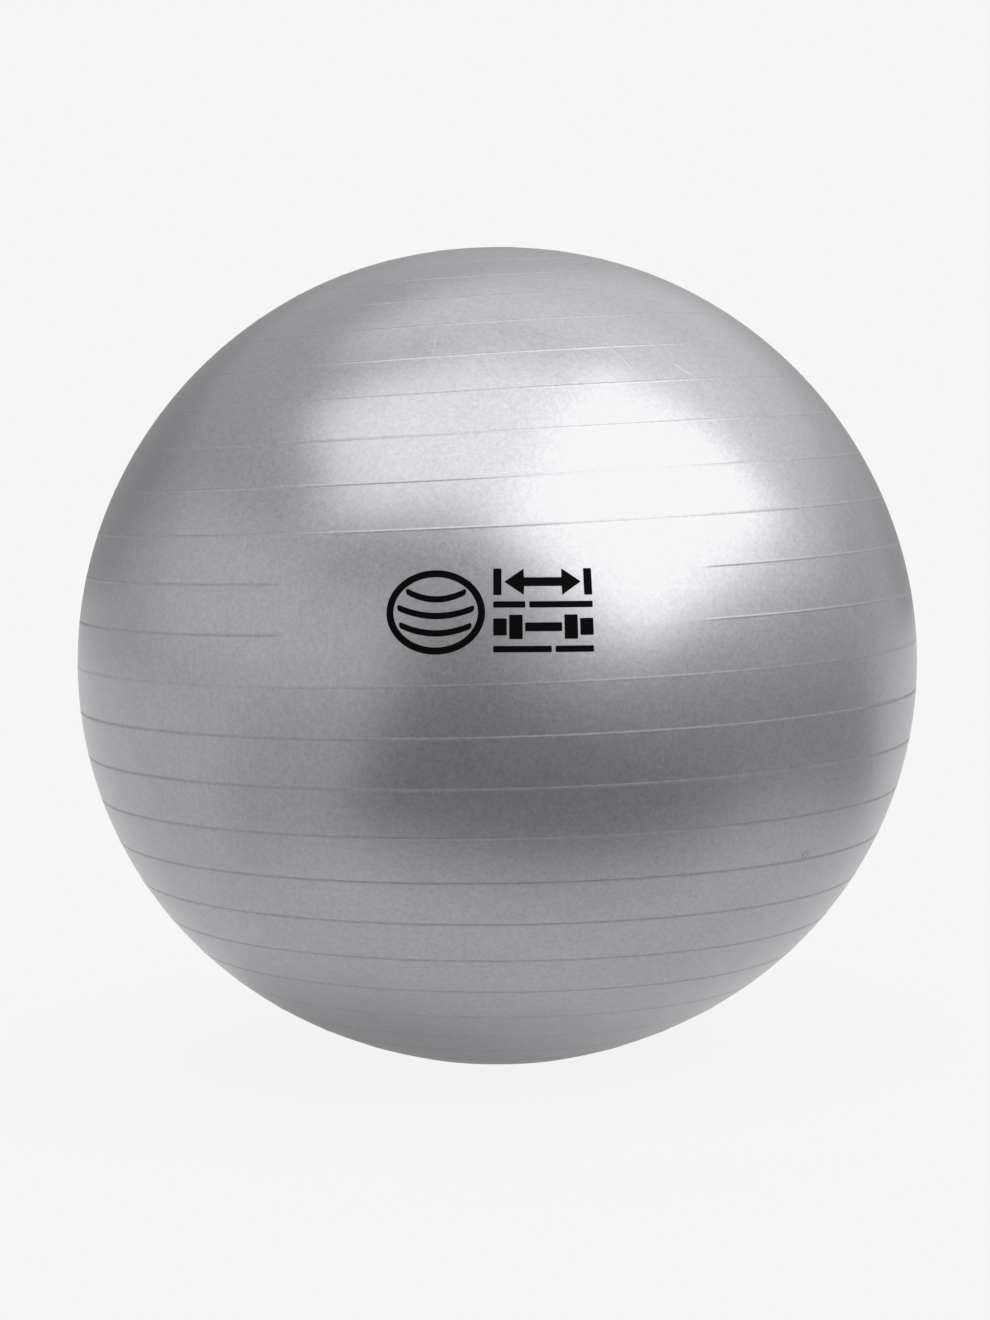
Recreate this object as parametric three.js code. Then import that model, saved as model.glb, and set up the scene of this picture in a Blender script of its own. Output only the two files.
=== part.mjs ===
// Exercise ball, 75 cm across: an inflated PVC skin, the valve body in it, and the air plug.
// Millimetres, +Z up. The origin is the centre of the flat patch on which the ball rests,
// and the valve's axis is +Z, through the pole of the ball.
import * as THREE from 'three';

// Driving dimensions: the ball
const ballDiameter = 750;
const polarSemiAxis = 365;
const skinWall = 0.8;
const restPatchRadius = 36;

// Driving dimensions: the valve body and the air plug
const valveDiscRadius = 15;
const valveLapRadius = 20;
const valveLapThickness = 1.6;
const neckRadius = 7.5;
const neckTipRadius = 6.5;
const neckDepth = 18;
const boreRadius = 4.5;
const boreTipRadius = 4.1;
const seatRadius = 9;
const seatDepth = 2.4;
const plugHeadRadius = 8.5;
const plugHeadThickness = 1.9;
const plugHeadRound = 0.6;
const plugStemRadius = 3.3;
const plugTipRadius = 2.1;
const plugTipLength = 4.5;
const plugRingCount = 4;
const plugRingPitch = 3.2;
const plugRingCrest = 0.55;
const plugRingBack = 0.7;

// Clearance between pieces that lap or press together, and how far the plug's head is sunk
const fitGap = 0.3;
const headSink = 0.2;

// Fineness of the round shapes
const ballSegments = 56;
const ballArcSteps = 26;
const valveSegments = 48;

// Worked out from the above
const equatorSemiAxis = ballDiameter / 2;
const restAngle = Math.asin(restPatchRadius / equatorSemiAxis);
const centreHeight = polarSemiAxis * Math.cos(restAngle);
const ballHeight = centreHeight + polarSemiAxis;
const skinHoleRadius = valveDiscRadius + fitGap;
const plugRingRadius = boreTipRadius - fitGap;

// Height of the ball's outer surface near its top pole, at a radius from the axis.
function topSurfaceHeight(radius) {
  return centreHeight + polarSemiAxis * Math.sqrt(1 - (radius / equatorSemiAxis) ** 2);
}

// Points along a meridian of the spheroid that lies inset inside the outer surface,
// from one radius near the bottom pole to another near the top pole.
function meridian(inset, bottomRadius, topRadius) {
  const semiAxisR = equatorSemiAxis - inset;
  const semiAxisZ = polarSemiAxis - inset;
  const startAngle = -Math.acos(bottomRadius / semiAxisR);
  const endAngle = Math.acos(topRadius / semiAxisR);
  const points = [];
  for (let step = 0; step <= ballArcSteps; step += 1) {
    const angle = startAngle + ((endAngle - startAngle) * step) / ballArcSteps;
    const height = centreHeight + semiAxisZ * Math.sin(angle);
    points.push(new THREE.Vector2(semiAxisR * Math.cos(angle), height));
  }
  return points;
}

// A solid of revolution about Z from a profile of (radius, height) points.
function turned(name, profile, segments, material) {
  const geometry = new THREE.LatheGeometry(profile, segments);
  geometry.rotateX(Math.PI / 2);
  const mesh = new THREE.Mesh(geometry, material);
  mesh.name = name;
  return mesh;
}

// The skin: a thin shell, flat where it rests, open at the top for the valve body.
function makeBallSkin() {
  const outside = meridian(0, restPatchRadius, skinHoleRadius);
  const patchInsideRadius = restPatchRadius - skinWall;
  const inside = meridian(skinWall, patchInsideRadius, skinHoleRadius);
  inside[0].y = skinWall;
  const profile = [
    new THREE.Vector2(0, 0),
    ...outside,
    ...inside.reverse(),
    new THREE.Vector2(0, skinWall),
  ];
  const material = new THREE.MeshStandardMaterial({
    color: 0x9c9fa2,
    roughness: 0.42,
    metalness: 0.1,
  });
  return turned('ball_skin', profile, ballSegments, material);
}

// The valve body: a disc flush with the skin, a lap under the skin's edge to which the skin
// is bonded, and a neck with the bore that the plug seals.
function makeValveBody() {
  const discEdge = topSurfaceHeight(valveDiscRadius);
  const lapTop = topSurfaceHeight(valveLapRadius) - skinWall - fitGap;
  const lapBottom = lapTop - valveLapThickness;
  const profile = [
    new THREE.Vector2(seatRadius, topSurfaceHeight(seatRadius)),
    new THREE.Vector2(seatRadius, ballHeight - seatDepth),
    new THREE.Vector2(boreRadius, ballHeight - seatDepth),
    new THREE.Vector2(boreTipRadius, ballHeight - neckDepth),
    new THREE.Vector2(neckTipRadius, ballHeight - neckDepth),
    new THREE.Vector2(neckRadius, lapBottom),
    new THREE.Vector2(valveLapRadius, lapBottom),
    new THREE.Vector2(valveLapRadius, lapTop),
    new THREE.Vector2(valveDiscRadius, lapTop),
    new THREE.Vector2(valveDiscRadius, discEdge),
    new THREE.Vector2(seatRadius, topSurfaceHeight(seatRadius)),
  ];
  const material = new THREE.MeshStandardMaterial({
    color: 0x8f9294,
    roughness: 0.5,
    metalness: 0,
  });
  return turned('valve_body', profile, valveSegments, material);
}

// The air plug: a flat round head, a stem with sealing rings, and a tapered tip. Each ring
// slopes out towards the head, to its crest, and is cut back behind it: both places are
// fractions of the rings' pitch.
function makeAirPlug() {
  const headTop = ballHeight - headSink;
  const headBottom = headTop - plugHeadThickness;
  const lastRing = headBottom - plugRingPitch * plugRingCount;
  const tip = lastRing - plugTipLength;
  const profile = [
    new THREE.Vector2(0, tip),
    new THREE.Vector2(plugTipRadius, tip),
    new THREE.Vector2(plugStemRadius, lastRing),
  ];
  for (let ring = plugRingCount; ring >= 1; ring -= 1) {
    const ringBase = headBottom - plugRingPitch * ring;
    const crestHeight = ringBase + plugRingPitch * plugRingCrest;
    const backHeight = ringBase + plugRingPitch * plugRingBack;
    profile.push(new THREE.Vector2(plugRingRadius, crestHeight));
    profile.push(new THREE.Vector2(plugStemRadius, backHeight));
  }
  profile.push(new THREE.Vector2(plugStemRadius, headBottom));
  profile.push(new THREE.Vector2(plugHeadRadius, headBottom));
  profile.push(new THREE.Vector2(plugHeadRadius, headTop - plugHeadRound));
  profile.push(new THREE.Vector2(plugHeadRadius - plugHeadRound, headTop));
  profile.push(new THREE.Vector2(0, headTop));
  const material = new THREE.MeshStandardMaterial({
    color: 0xe6e6e2,
    roughness: 0.45,
    metalness: 0,
  });
  return turned('air_plug', profile, valveSegments, material);
}

const ball = new THREE.Group();
ball.add(makeBallSkin());
ball.add(makeValveBody());
ball.add(makeAirPlug());

export default ball;
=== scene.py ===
"""Exercise ball, 75 cm: the ribbed skin and its small marks, the print, the valve and the air plug.

Metres, +Z up, in the frame of the CAD model. The ball rests at the origin, and its front, with the
print, faces -Y. A place on the skin is given by its longitude, from the front and positive towards
+X, and its latitude.
"""
import math

import bpy
import numpy as np
from mathutils import Euler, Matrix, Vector


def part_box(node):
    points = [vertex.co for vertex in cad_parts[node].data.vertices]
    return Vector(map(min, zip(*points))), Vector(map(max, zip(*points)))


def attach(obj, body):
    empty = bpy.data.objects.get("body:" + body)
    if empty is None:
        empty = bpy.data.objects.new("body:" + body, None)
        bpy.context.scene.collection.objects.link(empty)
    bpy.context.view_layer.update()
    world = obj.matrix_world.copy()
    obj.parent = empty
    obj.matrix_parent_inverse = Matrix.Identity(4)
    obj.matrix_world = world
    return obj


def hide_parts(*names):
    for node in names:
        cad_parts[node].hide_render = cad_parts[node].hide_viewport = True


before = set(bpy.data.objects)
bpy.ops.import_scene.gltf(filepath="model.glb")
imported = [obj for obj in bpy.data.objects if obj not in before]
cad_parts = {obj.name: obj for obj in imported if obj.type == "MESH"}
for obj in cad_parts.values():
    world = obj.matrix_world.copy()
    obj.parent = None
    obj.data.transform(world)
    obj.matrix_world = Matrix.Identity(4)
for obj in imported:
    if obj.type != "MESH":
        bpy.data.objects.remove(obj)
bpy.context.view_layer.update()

MM = 0.001

# ---------------------------------------------------------------- sizes

skin_low, skin_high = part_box("ball_skin")
valve_low, valve_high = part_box("valve_body")
plug_low, plug_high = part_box("air_plug")

# The ball is a spheroid that rests on a flat patch. The plug's head lies a little below its top
REST_PATCH_RADIUS = 36 * MM
EQUATOR_SEMI_AXIS = (skin_high.x - skin_low.x) / 2
REST_ANGLE = math.asin(REST_PATCH_RADIUS / EQUATOR_SEMI_AXIS)
PLUG_SUNK_BY = 0.2 * MM
BALL_HEIGHT = plug_high.z + PLUG_SUNK_BY
POLAR_SEMI_AXIS = BALL_HEIGHT / (1 + math.cos(REST_ANGLE))
CENTRE = Vector((0, 0, BALL_HEIGHT - POLAR_SEMI_AXIS))
SKIN_WALL = 0.8 * MM
SKIN_HOLE_RADIUS = 15.3 * MM

# Ribs: fine beads that run round the ball, equally far apart and a little askew. The profile is
# given as (place across, height, painted shade), in shares of the width, of the height and of full
# shade
RIBS_EACH_SIDE = 13
RIB_PITCH = math.radians(6.36)
RIB_RISE = math.radians(1.15)
RIB_HEIGHT = 0.205 * MM
RIB_WIDTH = 2.5 * MM
RIB_FAN = 0.047
RIB_PROFILE = (
    (-0.70, 0.0, 0.0), (-0.50, 0.0, 0.6), (-0.30, 0.35, 1.0), (-0.15, 0.85, 1.0), (0.0, 1.0, 1.0),
    (0.15, 0.85, 1.0), (0.30, 0.35, 1.0), (0.50, 0.0, 0.6), (0.70, 0.0, 0.0),
)

# The skin's mesh: vertices round the ball, rings of them between two ribs, and rings on the rest
# patch, from its edge to the lowest rib, and from the highest rib to the valve's hole, as shares of
# the way there. The inner side has a number of steps of its own
LONGITUDES = 240
RINGS_BETWEEN_RIBS = 4
RINGS_ON_PATCH = (1 / 3, 2 / 3)
RINGS_BELOW_RIBS = (0.0, 0.12, 0.5)
RINGS_ABOVE_RIBS = (0.35, 0.7, 1.0)
INSIDE_STEPS = 24

# Painted shade darkens the ribs and extra roughness dulls them, less so near the top and bottom
PAINTED_SHADE_ATTRIBUTE = "painted_shade"
PAINTED_SHADE_FACTOR = 0.87
ROUGHNESS_WITH_PAINTED_SHADE = 0.18
PAINTED_SHADE_BY_LATITUDE = (np.radians((-57, -44, 8, 24)), (0.3, 1.0, 1.0, 0.25))

# Shares of height and painted shade for the ribs that are fainter than the others, by number
FAINT_RIBS = {0: (0.3, 0.4), -1: (0.75, 1.2), -2: (0.8, 1.1)}

# The smooth panel on the front, which two ribs stop short of
PANEL_RIBS = (1, 2)
PANEL_HALF_ANGLE = math.radians(28.2)

# The slow unevenness of an inflated skin, which fades out near the poles, and how much fuller
# than a spheroid the skin is halfway to them
UNEVENNESS = 1.6 * MM
UNEVENNESS_FADE = 0.2
FULLNESS = 0.8 * MM


# ---------------------------------------------------------------- the ball's surface


def surface_radius(latitude):
    """Distance from the ball's centre to the smooth spheroid at a latitude."""
    across = np.cos(latitude) / EQUATOR_SEMI_AXIS
    along = np.sin(latitude) / POLAR_SEMI_AXIS
    return 1 / np.sqrt(across**2 + along**2)


def height_over_equator(radius):
    """Height of the smooth spheroid over its equator, at a distance from the axis."""
    return POLAR_SEMI_AXIS * math.sqrt(1 - (radius / EQUATOR_SEMI_AXIS) ** 2)


def unevenness(x, z):
    """How far the skin stands proud of the spheroid in a direction, given by its x and z: three
    lobes, and the fuller parts halfway to the poles, where 4 * z**2 * (1 - z**2) is 1."""
    away_from_poles = np.clip((1 - z**2) / UNEVENNESS_FADE, 0, 1)
    lobes = z**3 - 3 * x**2 * z
    return UNEVENNESS * lobes * away_from_poles + FULLNESS * 4 * z**2 * (1 - z**2)


def on_ball(longitude, latitude, lift=0.0):
    """The point of the outer skin at a longitude and a latitude, lifted off it by some distance."""
    x = np.cos(latitude) * np.sin(longitude)
    y = -np.cos(latitude) * np.cos(longitude)
    z = np.sin(latitude) + np.zeros_like(longitude)
    distance = surface_radius(latitude) + unevenness(x, z) + lift
    return np.stack([x * distance, y * distance, z * distance + CENTRE.z], axis=-1)


# ---------------------------------------------------------------- mesh helpers

# Edges that bend by more than this are sharp, and a rounded corner has this many steps
SHARP_ABOVE = math.radians(50)
ROUNDING_STEPS = 4


def new_mesh(name, vertices, faces):
    """An object of one mesh, shaded smooth but for its sharp edges."""
    mesh = bpy.data.meshes.new(name)
    mesh.from_pydata([tuple(v) for v in vertices], [], faces)
    mesh.validate()
    mesh.shade_smooth()
    mesh.set_sharp_from_angle(angle=SHARP_ABOVE)
    piece = bpy.data.objects.new(name, mesh)
    bpy.context.scene.collection.objects.link(piece)
    return piece


def band_faces(lower, upper):
    """Quads between two closed rings, given as lists of vertices, anticlockwise from above."""
    count = len(lower)
    faces = []
    for i in range(count):
        j = (i + 1) % count
        faces.append((lower[i], lower[j], upper[j], upper[i]))
    return faces


def turned(name, profile, segments):
    """A solid of revolution about the Z axis. Its profile is (radius, height) points, anticlockwise
    with the radius to the right."""
    vertices, rings, faces = [], [], []
    for radius, height in profile:
        if radius == 0:
            rings.append([len(vertices)])
            vertices.append((0, 0, height))
            continue
        rings.append(list(range(len(vertices), len(vertices) + segments)))
        for step in range(segments):
            angle = 2 * math.pi * step / segments
            vertices.append((radius * math.cos(angle), radius * math.sin(angle), height))
    closes_on_itself = len(rings[0]) > 1
    if closes_on_itself:
        rings.append(rings[0])
    for lower, upper in zip(rings, rings[1:]):
        if len(lower) == 1:
            faces += [(lower[0], upper[(i + 1) % segments], upper[i]) for i in range(segments)]
        elif len(upper) == 1:
            faces += [(lower[i], lower[(i + 1) % segments], upper[0]) for i in range(segments)]
        else:
            faces += band_faces(lower, upper)
    return new_mesh(name, vertices, faces)


def rounded(profile, radius):
    """The profile with each corner marked True rounded off. Points are (radius, height, mark)."""
    count = len(profile)
    result = []
    for i, (x, z, is_round) in enumerate(profile):
        if not is_round:
            result.append((x, z))
            continue
        corner = Vector((x, z))
        before = Vector(profile[i - 1][:2]) - corner
        after = Vector(profile[(i + 1) % count][:2]) - corner
        reach = min(radius, before.length / 2, after.length / 2)
        start = corner + before.normalized() * reach
        end = corner + after.normalized() * reach
        for step in range(ROUNDING_STEPS + 1):
            t = step / ROUNDING_STEPS
            point = start * (1 - t) ** 2 + corner * 2 * t * (1 - t) + end * t**2
            result.append((point.x, point.y))
    return result


# ---------------------------------------------------------------- the skin

PATCH_LATITUDE = REST_ANGLE - math.pi / 2
HOLE_LATITUDE = math.atan2(height_over_equator(SKIN_HOLE_RADIUS), SKIN_HOLE_RADIUS)


def rib_rings():
    """(latitude, rib height, painted shade, rib number) of each ring from the lowest rib to the
    highest.
    Between ribs the number is None."""
    rings = []
    for number in range(-RIBS_EACH_SIDE, RIBS_EACH_SIDE + 1):
        middle = RIB_RISE + number * RIB_PITCH
        for across, height, painted_shade in RIB_PROFILE:
            rings.append((middle + across * RIB_WIDTH / EQUATOR_SEMI_AXIS, height, painted_shade, number))
        if number < RIBS_EACH_SIDE:
            start = middle + RIB_PROFILE[-1][0] * RIB_WIDTH / EQUATOR_SEMI_AXIS
            end = middle + RIB_PITCH + RIB_PROFILE[0][0] * RIB_WIDTH / EQUATOR_SEMI_AXIS
            for step in range(1, RINGS_BETWEEN_RIBS + 1):
                latitude = start + (end - start) * step / (RINGS_BETWEEN_RIBS + 1)
                rings.append((latitude, 0.0, 0.0, None))
    return rings


def fanned(latitude, longitude):
    """The ribs lie a little askew, more so further from the equator, but not at the poles."""
    away_from_poles = math.sqrt(math.cos(latitude))
    return latitude + RIB_FAN * latitude * np.sin(longitude) * away_from_poles


def outside_rings(longitudes):
    """Rings on the outer side, from the rest patch to the valve's hole: their points and painted
    shade.
    """
    none = np.zeros_like(longitudes)
    from_front = np.abs((longitudes + math.pi) % (2 * math.pi) - math.pi)
    ribs = rib_rings()
    lowest_latitude, highest_latitude = ribs[0][0], ribs[-1][0]
    rings = []
    for share in RINGS_ON_PATCH:
        radius = REST_PATCH_RADIUS * share
        around = [radius * np.sin(longitudes), -radius * np.cos(longitudes), none]
        points = np.stack(around, axis=-1)
        rings.append((points, none))
    for share in RINGS_BELOW_RIBS:
        latitude = PATCH_LATITUDE + (lowest_latitude - PATCH_LATITUDE) * share
        rings.append((on_ball(longitudes, latitude), none))
    for latitude, height, painted_shade, number in ribs:
        there = np.ones_like(longitudes)
        if number in PANEL_RIBS:
            there[from_front < PANEL_HALF_ANGLE] = 0
        height_share, shade_share = FAINT_RIBS.get(number, (1.0, 1.0))
        lift = there * height * height_share * RIB_HEIGHT
        points = on_ball(longitudes, fanned(latitude, longitudes), lift)
        # Each ring's share of painted shade, by the rib's profile, its faintness and its latitude
        rings.append((points, there * painted_shade * shade_share * np.interp(latitude, *PAINTED_SHADE_BY_LATITUDE)))
    for share in RINGS_ABOVE_RIBS:
        latitude = highest_latitude + (HOLE_LATITUDE - highest_latitude) * share
        rings.append((on_ball(longitudes, latitude), none))
    for points, _ in rings:
        points[:, 2] = np.maximum(points[:, 2], 0)
    return rings


def inside_rings(longitudes):
    """Rings of points on the inner side, from the valve's hole down to the rest patch."""
    rings = []
    for step in range(INSIDE_STEPS + 1):
        latitude = HOLE_LATITUDE + (PATCH_LATITUDE - HOLE_LATITUDE) * step / INSIDE_STEPS
        rings.append(on_ball(longitudes, latitude, -SKIN_WALL))
    rings[-1][:, 2] = SKIN_WALL
    return rings


def set_painted_shade(piece, painted_shade):
    """Gives each vertex its share of painted shade, for the skin's material to read."""
    piece.data.attributes.new(PAINTED_SHADE_ATTRIBUTE, "FLOAT", "POINT").data.foreach_set("value", painted_shade)


def make_skin():
    """The closed shell, outside and inside, whose two sides meet at the valve's hole."""
    longitudes = np.arange(LONGITUDES) * 2 * math.pi / LONGITUDES
    outside, inside = outside_rings(longitudes), inside_rings(longitudes)
    points = [ring for ring, _ in outside] + inside
    vertices = [(0, 0, 0)] + [p for ring in points for p in ring] + [(0, 0, SKIN_WALL)]
    rings = [list(range(1 + LONGITUDES * r, 1 + LONGITUDES * (r + 1))) for r in range(len(points))]
    last = len(vertices) - 1
    faces = [(0, rings[0][(i + 1) % LONGITUDES], rings[0][i]) for i in range(LONGITUDES)]
    for lower, upper in zip(rings, rings[1:]):
        faces += band_faces(lower, upper)
    faces += [(last, rings[-1][i], rings[-1][(i + 1) % LONGITUDES]) for i in range(LONGITUDES)]
    piece = new_mesh("skin", vertices, faces)
    painted_shade = np.zeros(len(vertices))
    painted_shade[1:1 + LONGITUDES * len(outside)] = np.concatenate([ring_shade for _, ring_shade in outside])
    set_painted_shade(piece, painted_shade)
    return piece


# ---------------------------------------------------------------- materials

# The skin: its colour and roughness, and the noise in them, given as (scale, detail) or (scale,
# detail, roughness)
PEARL_COLOUR = (0.352, 0.3485, 0.368)
PEARL_ROUGHNESS = (0.28, 0.34)
FLAKE_NOISE, FLAKE_SHADE = (380, 3, 0.7), (0.92, 1.08)
MOTTLE_NOISE, MOTTLE_SHADE = (190, 2), (0.96, 1.04)
CLOUD_NOISE, CLOUD_SHADE = (9, 3), (0.97, 1.03)
GRAIN_NOISE, GRAIN_HEIGHT, GRAIN_STRENGTH = (500, 2), 0.04 * MM, 0.4

# The span of values that is mapped to a range, for noise and for a share
NOISE_SPAN = (0.3, 0.7)
SHARE_SPAN = (0.0, 1.0)


def socket(node, name, value):
    """Sets a value that is the same all over the surface."""
    node.inputs[name].default_value = value


def new_material(name):
    """A material, its nodes and links, and its shader."""
    material = bpy.data.materials.new(name)
    material.use_nodes = True
    nodes, links = material.node_tree.nodes, material.node_tree.links
    return material, nodes, links, nodes["Principled BSDF"]


def noise(nodes, links, place, scale, detail, roughness=0.5):
    """Noise that is fixed to the piece."""
    texture = nodes.new("ShaderNodeTexNoise")
    socket(texture, "Scale", scale)
    socket(texture, "Detail", detail)
    socket(texture, "Roughness", roughness)
    links.new(place.outputs["Object"], texture.inputs["Vector"])
    return texture.outputs["Fac"]


def in_range(nodes, links, value, low, high, span=NOISE_SPAN):
    """Maps a value from its own span to low..high."""
    node = nodes.new("ShaderNodeMapRange")
    socket(node, "From Min", span[0])
    socket(node, "From Max", span[1])
    socket(node, "To Min", low)
    socket(node, "To Max", high)
    links.new(value, node.inputs["Value"])
    return node.outputs["Result"]


def tinted(nodes, links, colour, factor):
    """The colour, darker or lighter by a factor that varies over the surface."""
    node = nodes.new("ShaderNodeVectorMath")
    node.operation = "SCALE"
    node.inputs[0].default_value = colour
    links.new(factor, node.inputs["Scale"])
    return node.outputs["Vector"]


def calculate(nodes, links, operation, first, second):
    """The product or the sum of two values."""
    node = nodes.new("ShaderNodeMath")
    node.operation = operation
    links.new(first, node.inputs[0])
    links.new(second, node.inputs[1])
    return node.outputs["Value"]


def bump(nodes, links, height, distance, strength):
    """A fine grain, too small to be a shape of its own."""
    node = nodes.new("ShaderNodeBump")
    socket(node, "Strength", strength)
    socket(node, "Distance", distance)
    links.new(height, node.inputs["Height"])
    return node.outputs["Normal"]


def skin_material():
    """Silver-grey pearlescent PVC: fine metallic flakes and a soft, slightly grained gloss."""
    material, nodes, links, shader = new_material("pearl_pvc")
    place = nodes.new("ShaderNodeTexCoord")
    flakes = noise(nodes, links, place, *FLAKE_NOISE)
    shade = in_range(nodes, links, flakes, *FLAKE_SHADE)
    mottle = in_range(nodes, links, noise(nodes, links, place, *MOTTLE_NOISE), *MOTTLE_SHADE)
    clouds = in_range(nodes, links, noise(nodes, links, place, *CLOUD_NOISE), *CLOUD_SHADE)
    # Painted shade on the ribs and the mould mark: the attribute darkens the colour there and adds
    # roughness
    painted_shade = nodes.new("ShaderNodeAttribute")
    painted_shade.attribute_name = PAINTED_SHADE_ATTRIBUTE
    shade_factor = in_range(nodes, links, painted_shade.outputs["Fac"], 1.0, PAINTED_SHADE_FACTOR, SHARE_SPAN)
    for factor in (mottle, clouds, shade_factor):
        shade = calculate(nodes, links, "MULTIPLY", shade, factor)
    links.new(tinted(nodes, links, PEARL_COLOUR, shade), shader.inputs["Base Color"])
    socket(shader, "Metallic", 1.0)
    satin = in_range(nodes, links, flakes, *PEARL_ROUGHNESS)
    dulled = in_range(nodes, links, painted_shade.outputs["Fac"], 0.0, ROUGHNESS_WITH_PAINTED_SHADE, SHARE_SPAN)
    links.new(calculate(nodes, links, "ADD", satin, dulled), shader.inputs["Roughness"])
    grain = noise(nodes, links, place, *GRAIN_NOISE)
    links.new(bump(nodes, links, grain, GRAIN_HEIGHT, GRAIN_STRENGTH), shader.inputs["Normal"])
    return material


def grained_material(name, colour, shade, satin, grain, fixed):
    """A plain plastic or ink whose shade, roughness and grain vary a little. Shade and satin are
    given as (noise scale, noise detail, low, high), and grain as (noise scale, noise detail,
    height, strength). Fixed holds the shader's values that are the same all over."""
    material, nodes, links, shader = new_material(name)
    place = nodes.new("ShaderNodeTexCoord")
    varied = in_range(nodes, links, noise(nodes, links, place, *shade[:2]), *shade[2:])
    links.new(tinted(nodes, links, colour, varied), shader.inputs["Base Color"])
    varied = in_range(nodes, links, noise(nodes, links, place, *satin[:2]), *satin[2:])
    links.new(varied, shader.inputs["Roughness"])
    grained = bump(nodes, links, noise(nodes, links, place, *grain[:2]), *grain[2:])
    links.new(grained, shader.inputs["Normal"])
    for socket_name, value in fixed.items():
        socket(shader, socket_name, value)
    return material


def valve_material():
    """The same grey PVC without the pearl: satin, with a fine moulded grain."""
    return grained_material(
        "valve_pvc", (0.27, 0.273, 0.285),
        shade=(900, 3, 0.93, 1.07), satin=(600, 2, 0.42, 0.56), grain=(1500, 2, 0.05 * MM, 0.5),
        fixed={"Specular IOR Level": 0.5},
    )


def plug_material():
    """White moulded polyethylene: waxy and a little translucent, with a faint scuff pattern."""
    return grained_material(
        "plug_polyethylene", (0.58, 0.58, 0.56),
        shade=(250, 3, 0.95, 1.03), satin=(700, 3, 0.34, 0.5), grain=(1100, 2, 0.04 * MM, 0.4),
        fixed={"Subsurface Weight": 0.15, "Subsurface Radius": (1.2 * MM, 1.1 * MM, 1.0 * MM)},
    )


def ink_material():
    """Black screen-printing ink: dense and satin, with a trace of the skin's grain in it."""
    return grained_material(
        "black_ink", (0.0018, 0.0018, 0.0021),
        shade=(800, 3, 0.7, 1.5), satin=(500, 3, 0.42, 0.56), grain=(900, 2, 0.04 * MM, 0.4),
        fixed={"Specular IOR Level": 0.02},
    )


# ---------------------------------------------------------------- the printed mark

# Longitude, latitude and lean of its centre. Its parts are placed across and up from there
PRINT_PLACE = tuple(math.radians(angle) for angle in (-0.82, 9.75, -1.8))

# How far a thin sheet stands proud of the skin, and where its underside is
INK_TOP = 0.07 * MM
SHEET_BOTTOM = -0.05 * MM

# How finely ovals and strips are divided: along them, and over their width
OVAL_STEPS, OVAL_ROWS = 120, 3
STRIP_STEPS, STRIP_ROWS = 60, 5
CORNER_STEPS = 6
BAR_CORNER = 0.8 * MM
LEAST_HALF_HEIGHT = 0.02 * MM

# The emblem: an oval ring with bent bands across it
EMBLEM_CENTRE = (-42 * MM, 0.0)
EMBLEM_RADII = (38.8 * MM, 33 * MM)
EMBLEM_LINE = 5.6 * MM
BAND_HEIGHTS = (16.5 * MM, 3.5 * MM, -10 * MM)
BAND_LINE = 5.0 * MM
BAND_GAP = 2.6 * MM
BAND_CORNER = 2 * MM
BAND_BOW = 6.5 * MM

# The label: pictograms and rows of small bars, all of one width
LABEL_MIDDLE = 42 * MM
LABEL_WIDTH = 78 * MM
SMALL_BAR_HEIGHT = 5.0 * MM
SMALL_BAR_GAP = 3.0 * MM
SMALL_PLATE_SHARE = 0.7


def laid_on_ball(place, across, up, lift):
    """The point on the ball of a point of a flat pattern, given from the pattern's centre.
    The place is the longitude, the latitude and the lean of that centre."""
    centre_longitude, centre_latitude, lean = place
    turned_across = across * math.cos(lean) - up * math.sin(lean)
    turned_up = across * math.sin(lean) + up * math.cos(lean)
    radius = surface_radius(centre_latitude)
    latitude = centre_latitude + turned_up / radius
    longitude = centre_longitude + turned_across / (radius * math.cos(centre_latitude))
    return on_ball(longitude, latitude, lift)


def thin_sheet(across, up, is_ring=False, place=PRINT_PLACE, top_lift=INK_TOP):
    """Vertices and faces of a thin solid sheet from a grid of points, given as two arrays of
    (along, over). A ring joins its last column of points along to its first."""
    along, over = across.shape
    top = laid_on_ball(place, across, up, top_lift).reshape(-1, 3)
    bottom = laid_on_ball(place, across, up, SHEET_BOTTOM).reshape(-1, 3)
    shift = along * over
    faces = []
    columns = along if is_ring else along - 1
    for i in range(columns):
        j = (i + 1) % along
        for k in range(over - 1):
            quad = (i * over + k, j * over + k, j * over + k + 1, i * over + k + 1)
            faces.append(quad)
            faces.append(tuple(v + shift for v in reversed(quad)))
        for edge, flip in ((0, False), (over - 1, True)):
            near, far = i * over + edge, j * over + edge
            side = (near + shift, far + shift, far, near)
            faces.append(tuple(reversed(side)) if flip else side)
    if not is_ring:
        for column, flip in ((0, True), (along - 1, False)):
            for k in range(over - 1):
                start = column * over + k
                side = (start + shift, start + 1 + shift, start + 1, start)
                faces.append(tuple(reversed(side)) if flip else side)
    return np.concatenate([top, bottom]), faces


def oval_sheet(centre, radii, line, steps=OVAL_STEPS, **sheet):
    """An oval ring, whose line lies inside the radii."""
    angles = np.arange(steps) * 2 * math.pi / steps
    inset = np.linspace(0, line, OVAL_ROWS)[None]
    across = centre[0] + np.cos(angles)[:, None] * (radii[0] - inset)
    up = centre[1] + np.sin(angles)[:, None] * (radii[1] - inset)
    return thin_sheet(across, up, is_ring=True, **sheet)


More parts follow.
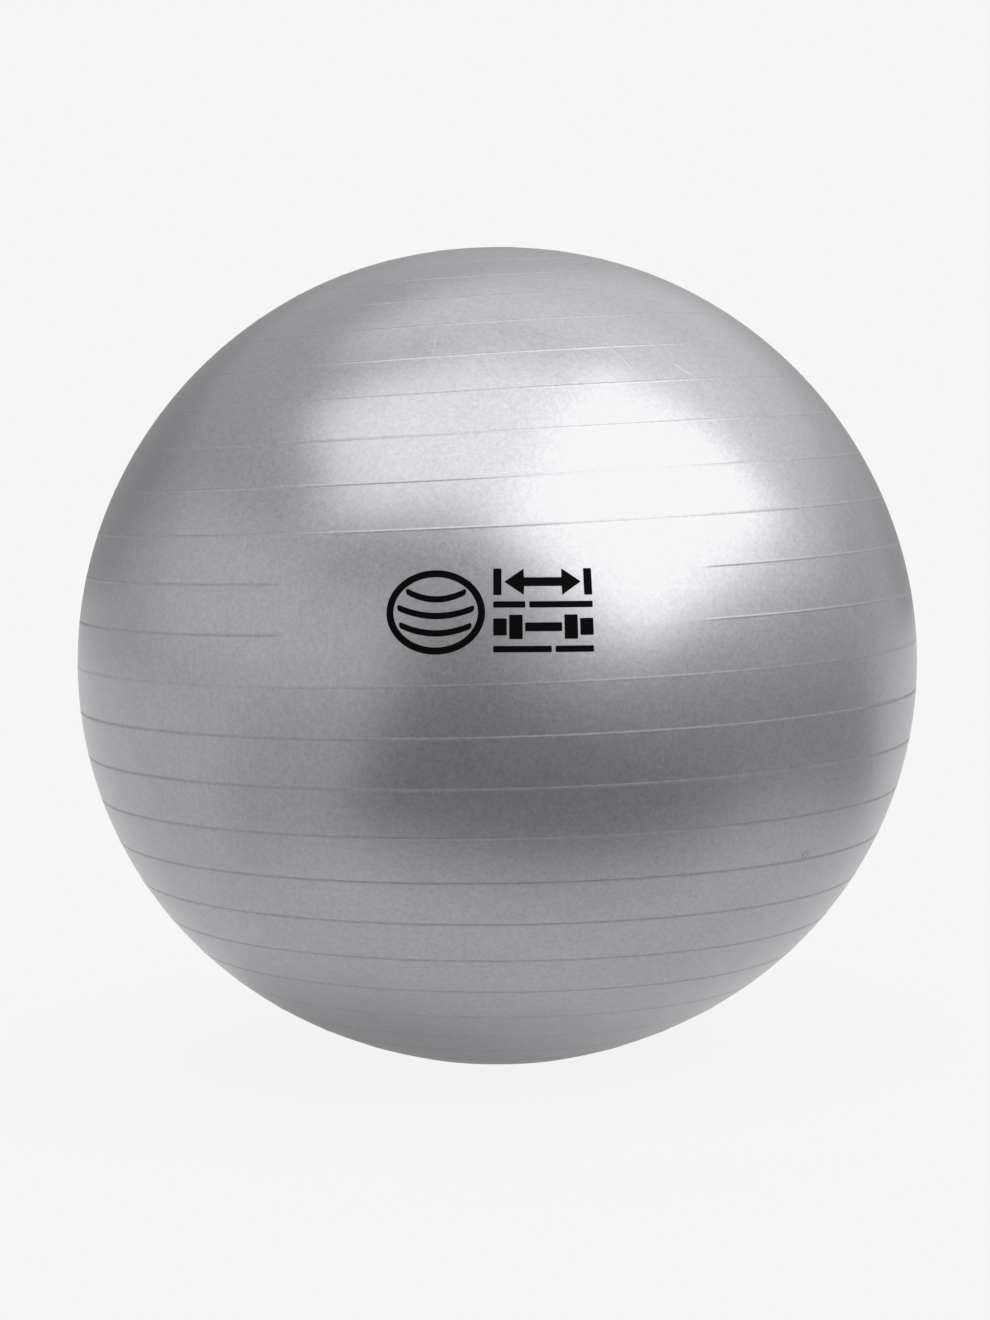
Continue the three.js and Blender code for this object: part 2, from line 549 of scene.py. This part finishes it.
def strip_sheet(centre, outline, bow=0.0):
    """A shape that is the same above and below its middle line, as (along, half height) points
    from left to right. A bow bends the middle of it down by that much."""
    along = np.array([point[0] for point in outline])
    half_height = np.array([point[1] for point in outline])
    start, end = along[0], along[-1]
    stops = np.unique(np.concatenate([along, np.linspace(start, end, STRIP_STEPS)]))
    heights = np.interp(stops, along, half_height)
    middle = -bow * (1 - (2 * (stops - start) / (end - start) - 1) ** 2)
    across = centre[0] + stops[:, None] * np.ones(STRIP_ROWS)[None]
    up = centre[1] + middle[:, None] + heights[:, None] * np.linspace(-1, 1, STRIP_ROWS)[None]
    return thin_sheet(across, up)


def bar_sheet(centre, width, height, corner=BAR_CORNER, bow=0.0):
    """A bar with rounded corners."""
    outline = []
    for step in range(CORNER_STEPS + 1):
        angle = math.pi / 2 * step / CORNER_STEPS
        along = corner * (1 - math.cos(angle)) - width / 2
        half_height = height / 2 - corner + corner * math.sin(angle)
        outline.append((along, max(half_height, LEAST_HALF_HEIGHT)))
    outline += [(-along, half_height) for along, half_height in reversed(outline)]
    return strip_sheet(centre, outline, bow)


def emblem_sheets():
    """A plain pictogram of a ball with bands."""
    sheets = [oval_sheet(EMBLEM_CENTRE, EMBLEM_RADII, EMBLEM_LINE)]
    half_width, half_height = (radius - EMBLEM_LINE for radius in EMBLEM_RADII)
    for height in BAND_HEIGHTS:
        width = 2 * (half_width * math.sqrt(1 - (height / half_height) ** 2) - BAND_GAP)
        centre = (EMBLEM_CENTRE[0], height)
        sheets.append(bar_sheet(centre, width, BAND_LINE, BAND_CORNER, BAND_BOW))
    return sheets


def span_sheets(up, height):
    """A pictogram of a diameter: an arrow with two heads between two upright bars."""
    bar, gap, head, shaft, blunt = 6.5 * MM, 2.5 * MM, 15 * MM, 7 * MM, 0.2 * MM
    half = LABEL_WIDTH / 2
    tip = half - bar - gap
    left = [(-tip, blunt), (-tip + head, height / 2), (-tip + head + blunt, shaft / 2)]
    right = [(-along, half_height) for along, half_height in reversed(left)]
    sheets = [strip_sheet((LABEL_MIDDLE, up), left + right)]
    for side in (-1, 1):
        sheets.append(bar_sheet((LABEL_MIDDLE + side * (half - bar / 2), up), bar, height))
    return sheets


def weight_sheets(up, height):
    """A pictogram of a load: a barbell with two plates at each end."""
    plate, gap, shaft = 10.5 * MM, 1.8 * MM, 7 * MM
    half = LABEL_WIDTH / 2
    sheets = [bar_sheet((LABEL_MIDDLE, up), 2 * (half - 2 * plate - 2 * gap), shaft)]
    for side in (-1, 1):
        small = LABEL_MIDDLE + side * (half - plate / 2)
        large = small - side * (plate + gap)
        sheets.append(bar_sheet((small, up), plate, height * SMALL_PLATE_SHARE))
        sheets.append(bar_sheet((large, up), plate, height))
    return sheets


def line_sheets(up, shares):
    """A row of plain bars, in place of small lettering. Shares divide the width between them."""
    room = LABEL_WIDTH - SMALL_BAR_GAP * (len(shares) - 1)
    start = LABEL_MIDDLE - LABEL_WIDTH / 2
    sheets = []
    for share in shares:
        width = room * share / sum(shares)
        sheets.append(bar_sheet((start + width / 2, up), width, SMALL_BAR_HEIGHT))
        start += width + SMALL_BAR_GAP
    return sheets


def label_sheets():
    """The label's four rows, from the top."""
    return (
        span_sheets(up=24.0 * MM, height=21 * MM)
        + line_sheets(up=6.2 * MM, shares=(3, 6))
        + weight_sheets(up=-11.3 * MM, height=19 * MM)
        + line_sheets(up=-28.5 * MM, shares=(6, 4))
    )


def joined(name, sheets):
    """One object of several sheets."""
    vertices, faces = [], []
    for points, quads in sheets:
        shift = len(vertices)
        vertices += list(points)
        faces += [tuple(v + shift for v in quad) for quad in quads]
    return new_mesh(name, vertices, faces)


# ---------------------------------------------------------------- the mould mark and the creases

# The mould mark: a faint small ring, low on the right. Its place is longitude, latitude and lean
MOULD_MARK_PLACE = (math.radians(47.0), math.radians(-24.4), 0.0)
MOULD_MARK_RADIUS = 4.0 * MM
MOULD_MARK_LINE = 1.7 * MM
MOULD_MARK_HEIGHT = 0.10 * MM
# Share of painted shade that darkens the ring
MOULD_MARK_SHADE = 0.9
MOULD_MARK_STEPS = 32

# The creases: faint ridges left by folding, near the top. Each is given by the longitude, latitude
# and lean of its middle, in degrees, and its length
CREASES = (
    (23.2, 46.0, 107.0, 62 * MM),
    (-10.2, 48.2, 88.0, 40 * MM),
    (35.5, 42.0, 128.0, 36 * MM),
)
CREASE_WIDTH = 3.6 * MM
CREASE_HEIGHT = 0.17 * MM
CREASE_STEPS, CREASE_ROWS = 25, 5

# How far a crease swings to the sides, as a share of its length, and the angle of that sine wave
# at its ends
CREASE_SWING = 0.02
CREASE_SWING_ANGLE = 2.5


def make_mould_mark():
    radii = (MOULD_MARK_RADIUS, MOULD_MARK_RADIUS)
    vertices, faces = oval_sheet((0, 0), radii, MOULD_MARK_LINE, MOULD_MARK_STEPS,
                                 place=MOULD_MARK_PLACE, top_lift=MOULD_MARK_HEIGHT)
    piece = new_mesh("mould_mark", vertices, faces)
    # Painted shade on the ring, as on the ribs
    set_painted_shade(piece, np.full(len(vertices), MOULD_MARK_SHADE))
    return piece


def crease_sheet(place, length):
    """A low ridge that tapers to nothing at its ends."""
    along = np.linspace(-1, 1, CREASE_STEPS)[:, None]
    over = np.linspace(-1, 1, CREASE_ROWS)[None]
    taper = 1 - along**2
    across = along * length / 2 + np.zeros_like(over)
    swing = CREASE_SWING * length * np.sin(CREASE_SWING_ANGLE * along)
    up = over * taper * CREASE_WIDTH / 2 + swing
    return thin_sheet(across, up, place=place, top_lift=CREASE_HEIGHT * taper * (1 - over**2))


def make_creases():
    sheets = []
    for longitude, latitude, lean, length in CREASES:
        sheets.append(crease_sheet([math.radians(a) for a in (longitude, latitude, lean)], length))
    return joined("creases", sheets)


# ---------------------------------------------------------------- the valve and the plug

# Segments round each of them
TURNED_SEGMENTS = 96

# The valve: a seat for the plug's head with a raised rim, a disc nearly flush with the skin, a lap
# under the skin, a neck and a bore
SEAT_RADIUS = 9 * MM
SEAT_DEPTH = 2.4 * MM
RIM_WIDTH = 1.4 * MM
RIM_HEIGHT = 0.1 * MM
RIM_SLOPE = 0.5 * MM
RIM_GROOVE = 0.25 * MM
DISC_RADIUS = 15 * MM
DISC_EDGE_DEPTH = 0.05 * MM
LAP_CLEARANCE = 0.3 * MM
LAP_THICKNESS = 1.6 * MM
NECK_RADIUS = 7.5 * MM
NECK_TIP_RADIUS = 6.5 * MM
BORE_RADIUS = 4.5 * MM
BORE_TIP_RADIUS = 4.1 * MM
VALVE_ROUNDING = 0.35 * MM

# The plug: a flat head with a shallow recess and a dimple in it, and a stem with sealing rings and
# a blunt tip. The stops of a ring, as shares of its pitch, are where it reaches its full radius,
# where it leaves it, and where it is back at the stem
HEAD_THICKNESS = 1.9 * MM
HEAD_EDGE = 1.3 * MM
RECESS_EDGE = 1.7 * MM
RECESS_DEPTH = 0.35 * MM
DIMPLE_RADII = (1.1 * MM, 1.6 * MM)
DIMPLE_DEPTH = 0.6 * MM
STEM_RADIUS = 3.3 * MM
RING_RADIUS = 3.8 * MM
RING_PITCH = 3.2 * MM
RING_COUNT = 4
RING_STOPS = (0.5, 0.58, 0.72)
TIP_RADII = (1.2 * MM, 2.1 * MM)
TIP_HOLLOW = 0.4 * MM
PLUG_ROUNDING = 0.3 * MM


def top_height(radius):
    """Height of the smooth ball near its top, at a distance from the axis."""
    return CENTRE.z + height_over_equator(radius)


def make_valve():
    lap_radius = (valve_high.x - valve_low.x) / 2
    lap_top = top_height(lap_radius) - SKIN_WALL - LAP_CLEARANCE
    lap_bottom = lap_top - LAP_THICKNESS
    seat_floor = BALL_HEIGHT - SEAT_DEPTH
    rim = SEAT_RADIUS + RIM_WIDTH
    profile = [
        (SEAT_RADIUS, seat_floor, False),
        (SEAT_RADIUS, top_height(SEAT_RADIUS) + RIM_HEIGHT, True),
        (rim, top_height(rim) + RIM_HEIGHT, True),
        (rim + RIM_SLOPE, top_height(rim) - RIM_GROOVE, True),
        (DISC_RADIUS, top_height(DISC_RADIUS) - DISC_EDGE_DEPTH, True),
        (DISC_RADIUS, lap_top, False),
        (lap_radius, lap_top, True),
        (lap_radius, lap_bottom, True),
        (NECK_RADIUS, lap_bottom, True),
        (NECK_TIP_RADIUS, valve_low.z, True),
        (BORE_TIP_RADIUS, valve_low.z, True),
        (BORE_RADIUS, seat_floor, True),
    ]
    return turned("valve", rounded(profile, VALVE_ROUNDING)[::-1], TURNED_SEGMENTS)


def make_plug():
    head_radius = (plug_high.x - plug_low.x) / 2
    head_top = plug_high.z
    head_bottom = head_top - HEAD_THICKNESS
    profile = [(0.0, plug_low.z + TIP_HOLLOW, False)]
    profile += [(radius, plug_low.z, True) for radius in TIP_RADII]
    profile.append((STEM_RADIUS, head_bottom - RING_PITCH * RING_COUNT, True))
    for number in range(RING_COUNT, 0, -1):
        base = head_bottom - RING_PITCH * number
        for radius, stop in zip((RING_RADIUS, RING_RADIUS, STEM_RADIUS), RING_STOPS):
            profile.append((radius, base + RING_PITCH * stop, True))
    profile += [
        (STEM_RADIUS, head_bottom, True),
        (head_radius, head_bottom, True),
        (head_radius, head_top, True),
        (head_radius - HEAD_EDGE, head_top, True),
        (head_radius - RECESS_EDGE, head_top - RECESS_DEPTH, True),
        (DIMPLE_RADII[1], head_top - RECESS_DEPTH, True),
        (DIMPLE_RADII[0], head_top - DIMPLE_DEPTH, True),
        (0.0, head_top - DIMPLE_DEPTH, False),
    ]
    return turned("plug", rounded(profile, PLUG_ROUNDING), TURNED_SEGMENTS)


# ---------------------------------------------------------------- building the object

pearl_pvc = skin_material()

skin = make_skin()
skin.data.materials.append(pearl_pvc)
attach(skin, "ball")
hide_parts("ball_skin")

mould_mark = make_mould_mark()
mould_mark.data.materials.append(pearl_pvc)
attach(mould_mark, "ball")

creases = make_creases()
creases.data.materials.append(pearl_pvc)
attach(creases, "ball")

printed_mark = joined("print", emblem_sheets() + label_sheets())
printed_mark.data.materials.append(ink_material())
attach(printed_mark, "ball")

valve = make_valve()
valve.data.materials.append(valve_material())
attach(valve, "ball")
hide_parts("valve_body")

plug = make_plug()
plug.data.materials.append(plug_material())
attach(plug, "plug")
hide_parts("air_plug")


# ---------------------------------------------------------------- camera

CAMERA_DISTANCE = 7 * EQUATOR_SEMI_AXIS
CAMERA_ELEVATION = math.radians(4.68)
CAMERA_ROLL = math.radians(-1.8)
SENSOR_WIDTH = 36  # millimetres
CLIP_END = 100

# How much of the picture's width the ball takes, and where the camera aims, to the right of and
# above the ball's centre
BALL_SHARE_OF_WIDTH = 0.848
AIM_OFFSET = (-1.9 * MM, -3.9 * MM)


def make_camera():
    camera = bpy.data.cameras.new("camera")
    camera.sensor_fit = "HORIZONTAL"
    camera.sensor_width = SENSOR_WIDTH
    half_angle = math.asin(EQUATOR_SEMI_AXIS / CAMERA_DISTANCE)
    camera.lens = SENSOR_WIDTH / 2 * BALL_SHARE_OF_WIDTH / math.tan(half_angle)
    camera.clip_end = CLIP_END
    holder = bpy.data.objects.new("camera", camera)
    bpy.context.scene.collection.objects.link(holder)
    back = Vector((0, -math.cos(CAMERA_ELEVATION), math.sin(CAMERA_ELEVATION)))
    holder.rotation_mode = "QUATERNION"
    upright = (-back).to_track_quat("-Z", "Y")
    rotation = upright @ Euler((0, 0, CAMERA_ROLL)).to_quaternion()
    holder.rotation_quaternion = rotation
    aim = CENTRE + rotation @ Vector((*AIM_OFFSET, 0))
    holder.location = aim + back * CAMERA_DISTANCE
    bpy.context.scene.camera = holder


make_camera()


# ---------------------------------------------------------------- the studio

PAPER_WHITE = 0.922
WORLD_GREY = 0.71

# Near the ball the paper takes a share of its brightness from the light that falls on it, and so
# it shows a faint shadow there. The share fades out between two distances from the middle
PAPER_REFLECTANCE = 0.66
SHADOW_SHARE = 0.06
SHADOW_FADE = (0.25, 0.60)

# The floor's sheets lie one over the other, a layer apart. The topmost is the shade under the
# ball, which is moved to the side by a longitude in degrees and a distance
FLOOR_REACH = 8.0
FLOOR_LAYER = 0.4 * MM
WEDGE_STEPS = 4
SHADE_REACH = 0.4
SHADE_RADIANCE = 0.42
SHADE_FADE = (0.32, 0.12)
SHADE_SHIFT = (-122, 0.07)

# What the ball's gloss shows of the room's floor, past the paper's edges: name, left and right
# end, nearer corners on the left, radiance, the distances that it fades in between, and the
# direction that they are measured in. Ends and directions are longitudes in degrees, and a corner
# is (longitude, distance)
ROOM_FLOORS = (
    ("room_left", -66, -20, (), 0.74, (0.48, 0.72), -48),
    ("room_front", -26, 100, ((-44, 0.6), (-31, 1.0)), 0.32, (0.34, 0.68), 12),
    ("room_right", 10, 112, (), 0.48, (0.42, 1.05), 85),
)

# Softboxes, strips, walls and ceiling: name, longitude, elevation and roll in degrees, size,
# distance and radiance
CARDS = (
    ("softbox_left", -27.6, 64.8, 28.1, (2.78, 2.22), 3.0, 2.15),
    ("softbox_right", 48.4, 40.9, 27.9, (3.75, 3.07), 3.05, 3.0),
    ("light_strip", 4.2, 40.9, -16.4, (8.57, 0.67), 4.0, 1.74),
    ("dark_strip", -2.2, 36.4, -3.3, (6.94, 1.48), 4.2, 0.45),
    ("dark_front", -8.5, 1.7, 10.1, (1.95, 2.73), 4.4, 0.42),
    ("low_right", 60.1, 3.8, 5.0, (7.57, 0.88), 5.5, 0.60),
    ("wall_left", -64.9, 14.9, -9.8, (9.9, 3.24), 6.0, 1.05),
    ("ceiling", 134.1, 61.0, 45.0, (12.3, 1.76), 6.2, 1.52),
    ("wall_right", 77.4, 47.0, 37.9, (26.9, 11.3), 6.4, 1.17),
    ("wall_back", -175.0, 9.9, 15.3, (14.6, 3.45), 6.6, 0.42),
)

# A rectangle's corners, in order, as signs
QUAD = ((-1, -1), (1, -1), (1, 1), (-1, 1))

# The bowl behind the paper
BACKDROP_RADIUS = 7.0
BACKDROP_TOP = 9.0
BACKDROP_BOTTOM = -2 * MM
BACKDROP_SEGMENTS = 64


def glowing_material(name, radiance):
    """A surface that shines evenly, as a lit card or a softbox does."""
    material, nodes, links, shader = new_material(name)
    socket(shader, "Base Color", (0, 0, 0, 1))
    socket(shader, "Specular IOR Level", 0.0)
    socket(shader, "Emission Color", (1, 1, 1, 1))
    socket(shader, "Emission Strength", radiance)
    return material


def fade(nodes, links, start, end, facing=None):
    """Goes from 0 to 1 between two distances, in one direction or out from the middle."""
    place = nodes.new("ShaderNodeTexCoord")
    distance = nodes.new("ShaderNodeVectorMath")
    links.new(place.outputs["Object"], distance.inputs[0])
    if facing is None:
        distance.operation = "LENGTH"
    else:
        distance.operation = "DOT_PRODUCT"
        distance.inputs[1].default_value = facing
    result = nodes.new("ShaderNodeMapRange")
    result.interpolation_type = "SMOOTHSTEP"
    socket(result, "From Min", start)
    socket(result, "From Max", end)
    links.new(distance.outputs["Value"], result.inputs["Value"])
    return result.outputs["Result"]


def fading_material(name, radiance, start, end, facing=None):
    """A glow that comes in between two distances."""
    material = glowing_material(name, radiance)
    nodes, links = material.node_tree.nodes, material.node_tree.links
    links.new(fade(nodes, links, start, end, facing), nodes["Principled BSDF"].inputs["Alpha"])
    return material


def paper_material():
    """White paper that glows evenly, but for a faint real shadow close to the ball."""
    material, nodes, links, shader = new_material("white_paper")
    clear = fade(nodes, links, *SHADOW_FADE)
    share = in_range(nodes, links, clear, SHADOW_SHARE, 0.0, SHARE_SPAN)
    links.new(tinted(nodes, links, (PAPER_REFLECTANCE,) * 3, share), shader.inputs["Base Color"])
    glow = in_range(nodes, links, share, PAPER_WHITE, 0.0, SHARE_SPAN)
    links.new(glow, shader.inputs["Emission Strength"])
    socket(shader, "Emission Color", (1, 1, 1, 1))
    socket(shader, "Roughness", 1.0)
    socket(shader, "Specular IOR Level", 0.0)
    return material


def stage_piece(piece, material, seen_by_camera, seen_by_object):
    """Makes a piece part of the studio, which the camera sees, the object mirrors, or both."""
    piece.data.materials.append(material)
    piece.visible_camera = seen_by_camera
    piece.visible_glossy = seen_by_object
    piece.visible_diffuse = seen_by_object
    piece.visible_shadow = False


def towards(longitude, elevation=0.0):
    """The direction of a longitude and an elevation in degrees."""
    a, e = math.radians(longitude), math.radians(elevation)
    return Vector((math.sin(a) * math.cos(e), -math.cos(a) * math.cos(e), math.sin(e)))


def floor_sheet(name, corners, layer, material, shift=Vector(), seen_by_camera=False):
    """A flat sheet on the floor. Sheets of a higher layer lie over those of a lower one."""
    points = [Vector(corner).to_3d() for corner in corners]
    piece = new_mesh(name, points, [tuple(range(len(points)))])
    piece.location = shift + Vector((0, 0, layer * FLOOR_LAYER))
    stage_piece(piece, material, seen_by_camera, True)


def floor_square(reach):
    return [(i * reach, j * reach) for i, j in QUAD]


def floor_wedge(left_end, right_end, near_left):
    """The floor between two longitudes less than half a turn apart. On the left it may be cut off
    by nearer corners."""
    near = [towards(longitude) * distance for longitude, distance in near_left]
    far = []
    for step in range(WEDGE_STEPS + 1):
        far.append(towards(left_end + (right_end - left_end) * step / WEDGE_STEPS) * FLOOR_REACH)
    return [(0, 0), *near, *far]


def make_floor():
    """White paper under and round the ball. Only the ball's surface shows the rest: the darker
    floor of the room past the paper's edges, and the shade right under the ball."""
    floor_sheet("paper", floor_square(FLOOR_REACH), 0, paper_material(), seen_by_camera=True)
    for layer, room_floor in enumerate(ROOM_FLOORS, start=1):
        name, left_end, right_end, near_left, radiance, distances, direction = room_floor
        material = fading_material(name, radiance, *distances, towards(direction))
        floor_sheet(name, floor_wedge(left_end, right_end, near_left), layer, material)
    material = fading_material("shade_under_ball", SHADE_RADIANCE, *SHADE_FADE)
    longitude, distance = SHADE_SHIFT
    floor_sheet("shade_under_ball", floor_square(SHADE_REACH), len(ROOM_FLOORS) + 1, material,
                shift=towards(longitude) * distance)


def make_backdrop():
    """What the camera sees behind the paper: a wide white bowl of the same brightness."""
    profile = [
        (0.0, BACKDROP_BOTTOM),
        (BACKDROP_RADIUS, BACKDROP_BOTTOM),
        (BACKDROP_RADIUS, BACKDROP_TOP),
    ]
    backdrop = turned("backdrop", profile, BACKDROP_SEGMENTS)
    stage_piece(backdrop, glowing_material("backdrop_white", PAPER_WHITE), True, False)


def make_card(name, longitude, elevation, roll, size, distance, radiance):
    """A flat lit card that faces the ball."""
    width, height = size
    way = towards(longitude, elevation)
    side = towards(longitude + 90)
    up = side.cross(-way)
    turn = math.radians(roll)
    across = side * math.cos(turn) + up * math.sin(turn)
    along = up * math.cos(turn) - side * math.sin(turn)
    middle = CENTRE + way * distance
    corners = [middle + across * width / 2 * i + along * height / 2 * j for i, j in QUAD]
    piece = new_mesh(name, corners, [(0, 1, 2, 3)])
    stage_piece(piece, glowing_material(name, radiance), False, True)


make_floor()
make_backdrop()
for lit_card in CARDS:
    make_card(*lit_card)

world = bpy.data.worlds.new("studio")
bpy.context.scene.world = world
world.use_nodes = True
socket(world.node_tree.nodes["Background"], "Color", (WORLD_GREY, WORLD_GREY, WORLD_GREY, 1))

# Nothing in the picture is brighter than the paper
view = bpy.context.scene.view_settings
view.view_transform = "Standard"
view.use_curve_mapping = True
combined_curve = view.curve_mapping.curves[3]
combined_curve.points[-1].location = (PAPER_WHITE, PAPER_WHITE)
view.curve_mapping.extend = "HORIZONTAL"
view.curve_mapping.update()
